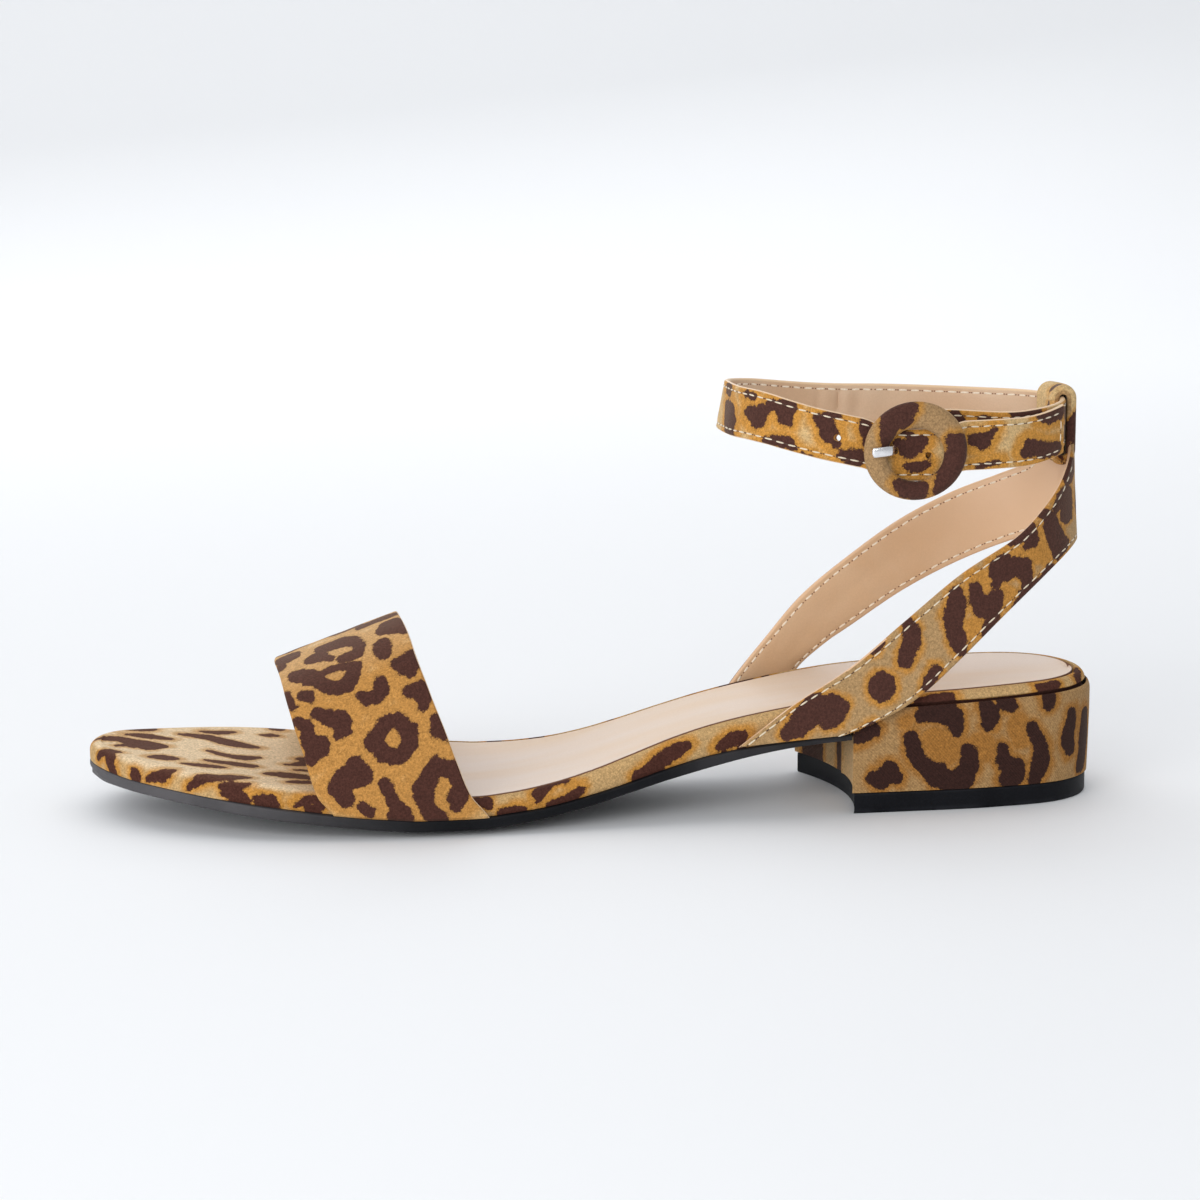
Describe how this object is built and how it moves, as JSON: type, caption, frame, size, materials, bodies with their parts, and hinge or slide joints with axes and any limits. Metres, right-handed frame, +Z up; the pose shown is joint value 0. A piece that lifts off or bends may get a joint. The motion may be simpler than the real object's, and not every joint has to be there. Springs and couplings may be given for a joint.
{
  "type": "dress sandal",
  "caption": "Left low-heeled dress sandal with a wide toe band, back sling, buckled ankle strap, covered block heel and thin rubber sole.",
  "frame": {"origin": "bottom centre of the bounding box, on the ground", "axes": "+X from the toe to the heel, so the toe points to -X; +Y to the inner (medial) side, so the buckle is on -Y; +Z up"},
  "size_m": [0.2518, 0.0802, 0.1048],
  "materials": {
    "footbed_wrap": "short-napped leopard print over the footbed edge and toe",
    "sock_leather": "smooth tan, satin",
    "outsole_rubber": "dark, satin, finely textured",
    "heel_wrap": "short-napped leopard print wrapped over the block",
    "lift_rubber": "black, matte",
    "vamp_fabric": "short-napped leopard print, tan lining",
    "sling_fabric": "short-napped leopard print, tan lining, pale edge stitching",
    "ankle_fabric": "short-napped leopard print, tan lining, pale edge stitching",
    "buckle_fabric": "leopard print stretched over a ring",
    "prong_metal": "polished silver"
  },
  "bodies": {
    "root": {"footbed": "footbed_wrap", "sock_lining": "sock_leather", "outsole": "outsole_rubber", "heel_block": "heel_wrap", "heel_top_lift": "lift_rubber", "vamp_strap": "vamp_fabric", "back_sling": "sling_fabric", "ankle_strap": "ankle_fabric", "buckle_ring": "buckle_fabric", "buckle_prong": "prong_metal"}
  },
  "joints": []
}
